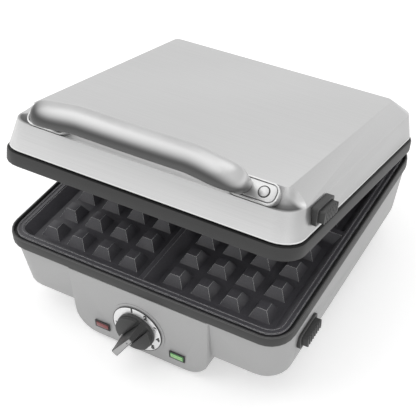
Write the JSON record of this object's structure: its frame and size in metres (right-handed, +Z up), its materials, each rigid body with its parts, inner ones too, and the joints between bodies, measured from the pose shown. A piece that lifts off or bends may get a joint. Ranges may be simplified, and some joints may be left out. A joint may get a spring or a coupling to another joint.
{
  "type": "belgian waffle maker",
  "caption": "Countertop waffle maker with a hinged lid, removable grid plates, front dial on a pedestal and side release buttons.",
  "frame": {"origin": "centre of the bounding box in plan, on the surface that the feet stand on", "axes": "+X to the right seen from the front, +Y to the back where the hinge is, +Z up; the dial faces -Y"},
  "size_m": [0.2956, 0.341, 0.2477],
  "materials": {
    "silver_paint": "satin silver paint",
    "brushed_steel": "brushed",
    "nonstick": "semi-gloss non-stick coating",
    "dark_grey_trim": "satin dark grey",
    "dark_grey_metal": "satin dark grey",
    "polished_steel": "polished",
    "plated_steel": "plated",
    "foot_rubber": "matte",
    "black_plastic": "satin black",
    "pale_plastic": "plain",
    "white_metal": "satin white",
    "red_lens": "translucent",
    "green_lens": "translucent",
    "bulb_glass": "clear"
  },
  "bodies": {
    "base": {"base_housing": "silver_paint", "cord_gland": "black_plastic", "dial_ring": "white_metal", "foot_front_left": "foot_rubber", "foot_front_right": "foot_rubber", "foot_rear_left": "foot_rubber", "foot_rear_right": "foot_rubber", "heating_lamp_bulb": "bulb_glass", "heating_lamp_frame": "black_plastic", "heating_lamp_lens": "red_lens", "hinge_bracket_left": "dark_grey_metal", "hinge_bracket_right": "dark_grey_metal", "hinge_pin_left": "polished_steel", "hinge_pin_right": "polished_steel", "lower_bezel": "dark_grey_trim", "lower_heating_element": "plated_steel", "lower_plate_clip_front": "plated_steel", "lower_plate_clip_rear": "plated_steel", "lower_reflector": "plated_steel", "lower_release_frame": "black_plastic", "lower_release_spring": "polished_steel", "lower_waffle_plate": "nonstick", "pedestal_cover": "dark_grey_metal", "pedestal_cover_screw_1": "plated_steel", "pedestal_cover_screw_2": "plated_steel", "pedestal_cover_screw_3": "plated_steel", "pedestal_cover_screw_4": "plated_steel", "ready_lamp_bulb": "bulb_glass", "ready_lamp_frame": "black_plastic", "ready_lamp_lens": "green_lens", "terminal_block": "pale_plastic", "thermostat_body": "pale_plastic"},
    "lid": {"handle_bar": "polished_steel", "handle_mount_left": "polished_steel", "handle_mount_right": "polished_steel", "handle_screw_left": "polished_steel", "handle_screw_right": "polished_steel", "lid_cover": "brushed_steel", "lid_hinge_arm_left": "dark_grey_metal", "lid_hinge_arm_right": "dark_grey_metal", "upper_bezel": "dark_grey_trim", "upper_heating_element": "plated_steel", "upper_plate_clip_front": "plated_steel", "upper_plate_clip_rear": "plated_steel", "upper_reflector": "plated_steel", "upper_release_frame": "black_plastic", "upper_release_spring": "polished_steel", "upper_waffle_plate": "nonstick"},
    "knob": {"knob_pointer": "silver_paint", "temperature_knob": "black_plastic", "thermostat_shaft": "polished_steel"},
    "lower_button": {"lower_release_button": "black_plastic"},
    "upper_button": {"upper_release_button": "black_plastic"}
  },
  "joints": [
    {"name": "lid_hinge", "type": "hinge", "parent": "base", "child": "lid", "pos_m": [0, 0.163, 0.0862], "axis": [-1, 0, 0], "range_deg": [-14.5, 85]},
    {"name": "knob_turn", "type": "hinge", "parent": "base", "child": "knob", "pos_m": [-0.00275, -0.15, 0.0372], "axis": [0, -1, 0], "range_deg": [-99, 125]},
    {"name": "lower_release_press", "type": "slide", "parent": "base", "child": "lower_button", "axis": [-1, 0, 0], "range_m": [0, 0.004], "stiffness_N_per_m": 600, "springref_m": -0.003, "deforming": ["lower_release_spring"]},
    {"name": "upper_release_press", "type": "slide", "parent": "lid", "child": "upper_button", "axis": [-1, 0, 0], "range_m": [0, 0.004], "stiffness_N_per_m": 600, "springref_m": -0.003, "deforming": ["upper_release_spring"]}
  ]
}
